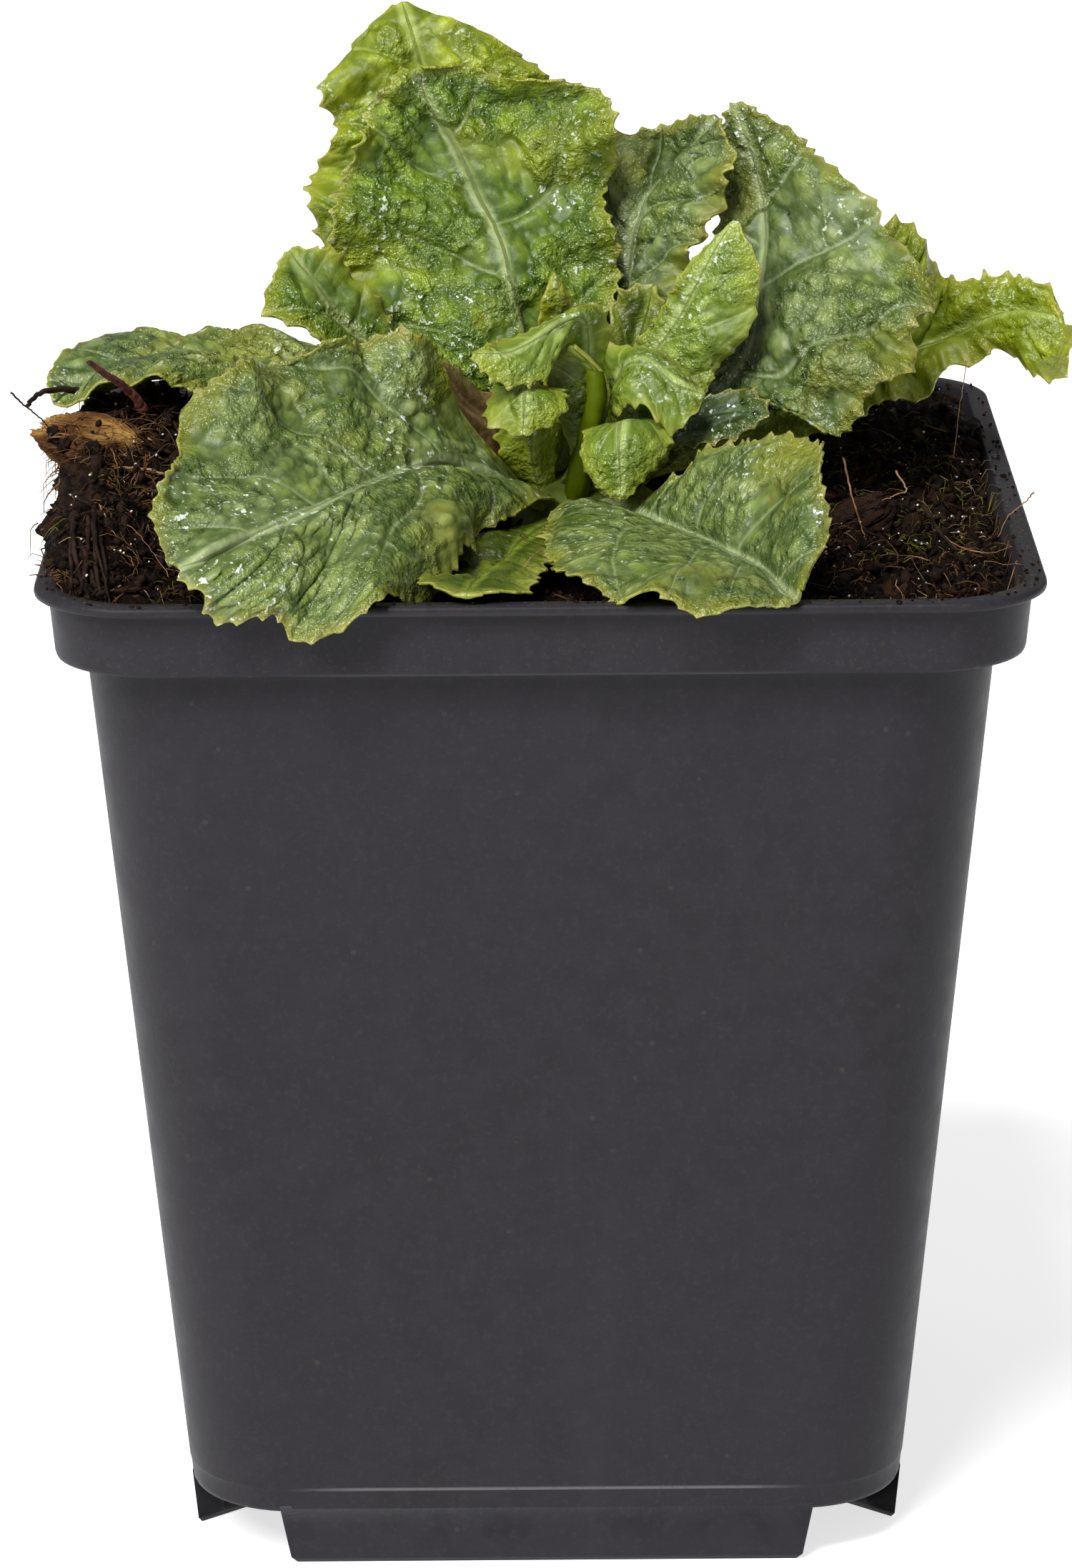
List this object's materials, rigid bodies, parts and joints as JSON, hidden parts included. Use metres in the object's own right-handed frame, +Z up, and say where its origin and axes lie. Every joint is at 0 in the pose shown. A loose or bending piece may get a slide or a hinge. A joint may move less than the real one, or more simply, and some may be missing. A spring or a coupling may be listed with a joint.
{
  "type": "potted primrose",
  "caption": "Young primrose rosette of crinkled, toothed leaves in peaty soil, in a square black nursery pot with a collared rim and side feet",
  "frame": {"origin": "centre of the whole part's bounding box in plan, at the level that the pot's feet stand on", "axes": "+Z up, -Y towards the front of the pot, +X to the right seen from the front"},
  "size_m": [0.0966, 0.0946, 0.138],
  "materials": {
    "pot_plastic": "thin moulded charcoal plastic, matte with a faint sheen",
    "peat": "moist dark brown peat with fibres",
    "crown": "pale green rootstock, matte",
    "wood": "rough tan bark wood",
    "bark": "dark reddish brown bark",
    "leaf_glaucous": "blue-green bloom, partly wet",
    "leaf_green": "fresh green, satin with wet glints",
    "leaf_yellow": "yellow-green, satin"
  },
  "bodies": {
    "root": {"pot": "pot_plastic", "soil": "peat", "crown": "crown", "wood_chunk": "wood", "bark_chip": "bark", "twig_dark": "bark", "twig_red": "bark", "leaf_front_left": "leaf_glaucous", "leaf_front_right": "leaf_glaucous", "leaf_left_low": "leaf_glaucous", "leaf_right_large": "leaf_glaucous", "leaf_back_grey": "leaf_glaucous", "leaf_right_dark": "leaf_glaucous", "leaf_left_torn": "leaf_glaucous", "leaf_front_low": "leaf_yellow", "leaf_back_yellow": "leaf_yellow", "leaf_right_far": "leaf_yellow", "leaf_centre_tall": "leaf_yellow", "leaf_centre_tip": "leaf_yellow", "leaf_right_brown": "leaf_yellow", "leaf_back_tall": "leaf_green", "leaf_left_small": "leaf_green", "leaf_right_cup": "leaf_green", "leaf_centre_right": "leaf_green", "leaf_centre_left": "leaf_green", "leaf_centre_lobe": "leaf_green", "leaf_right_curled": "leaf_green", "leaf_behind_left": "leaf_green", "leaf_behind_right": "leaf_green"}
  },
  "joints": []
}
